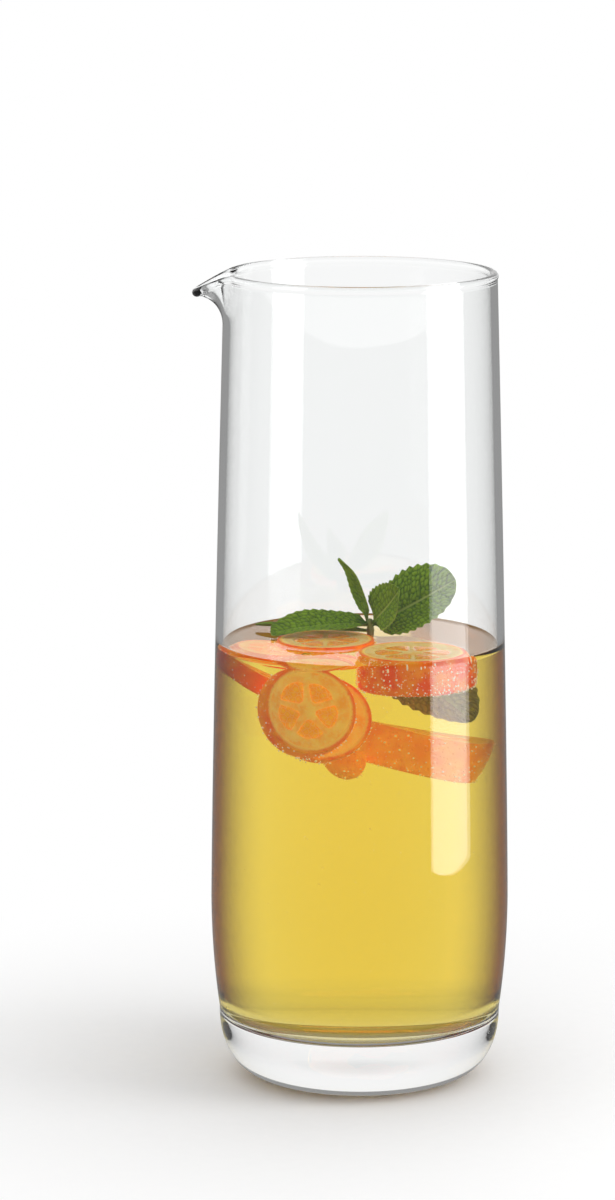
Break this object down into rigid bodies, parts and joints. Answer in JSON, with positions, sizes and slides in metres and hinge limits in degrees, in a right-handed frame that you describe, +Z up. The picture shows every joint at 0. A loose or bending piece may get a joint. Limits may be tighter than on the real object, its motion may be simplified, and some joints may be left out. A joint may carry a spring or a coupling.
{
  "type": "cocktail pitcher",
  "caption": "Handleless clear glass pitcher with a heavy rounded foot and a pulled pouring lip, filled with a golden drink, kumquat slices and mint.",
  "frame": {"origin": "centre of the flat face that the glass stands on", "axes": "+Z up along the axis of the glass; the pouring lip points along -X; +Y away from the pictured side"},
  "size_m": [0.0948, 0.09, 0.245],
  "materials": {
    "glass": "clear, fire-polished",
    "drink": "clear golden liquid",
    "peel": "waxy orange citrus peel with oil pores",
    "pith": "pale spongy pith and membranes",
    "pulp": "wet translucent citrus pulp",
    "mint_stem": "ribbed herb stem",
    "mint_leaf": "puckered, veined leaf"
  },
  "bodies": {
    "pitcher": {"glass": "glass", "drink": "drink"},
    "front_float": {"front_float_peel": "peel", "front_float_pith": "pith", "front_float_pulp": "pulp"},
    "rear_float": {"rear_float_peel": "peel", "rear_float_pith": "pith", "rear_float_pulp": "pulp"},
    "upright": {"upright_peel": "peel", "upright_pith": "pith", "upright_pulp": "pulp"},
    "tucked": {"tucked_peel": "peel", "tucked_pith": "pith", "tucked_pulp": "pulp"},
    "leaning": {"leaning_peel": "peel", "leaning_pith": "pith", "leaning_pulp": "pulp"},
    "sunk": {"sunk_peel": "peel", "sunk_pith": "pith", "sunk_pulp": "pulp"},
    "end_cap": {"end_cap_peel": "peel", "end_cap_pith": "pith", "end_cap_pulp": "pulp"},
    "sprig": {"mint_stem": "mint_stem", "mint_left_leaf": "mint_leaf", "mint_broad_leaf": "mint_leaf", "mint_slim_leaf": "mint_leaf", "mint_young_leaf": "mint_leaf", "mint_rear_leaf": "mint_leaf", "mint_hanging_leaf": "mint_leaf"}
  },
  "joints": [
    {"name": "front_float_turn", "type": "hinge", "parent": "pitcher", "child": "front_float", "pos_m": [0.01536, -0.01863, 0.1286], "axis": [0, 0, 1], "continuous": true},
    {"name": "rear_float_turn", "type": "hinge", "parent": "pitcher", "child": "rear_float", "pos_m": [-0.01036, -0.00062, 0.1311], "axis": [0, 0, 1], "continuous": true},
    {"name": "upright_turn", "type": "hinge", "parent": "pitcher", "child": "upright", "pos_m": [-0.01445, -0.02477, 0.11748], "axis": [0.1651, -0.9366, 0.309], "continuous": true},
    {"name": "tucked_turn", "type": "hinge", "parent": "pitcher", "child": "tucked", "pos_m": [-0.01014, -0.01776, 0.11411], "axis": [0.1651, -0.9366, 0.309], "continuous": true},
    {"name": "leaning_turn", "type": "hinge", "parent": "pitcher", "child": "leaning", "pos_m": [-0.0281, -0.00533, 0.12472], "axis": [0.4384, 0, 0.8988], "continuous": true},
    {"name": "sunk_turn", "type": "hinge", "parent": "pitcher", "child": "sunk", "pos_m": [0.01323, 0.00827, 0.09946], "axis": [0.3125, 0.1391, 0.9397], "continuous": true},
    {"name": "end_cap_turn", "type": "hinge", "parent": "pitcher", "child": "end_cap", "pos_m": [-0.00368, -0.00314, 0.1003], "axis": [0.25, -0.433, -0.866], "continuous": true},
    {"name": "sprig_lift", "type": "slide", "parent": "pitcher", "child": "sprig", "axis": [0, 0, 1], "range_m": [0, 0.145], "deforming": ["drink"]}
  ]
}
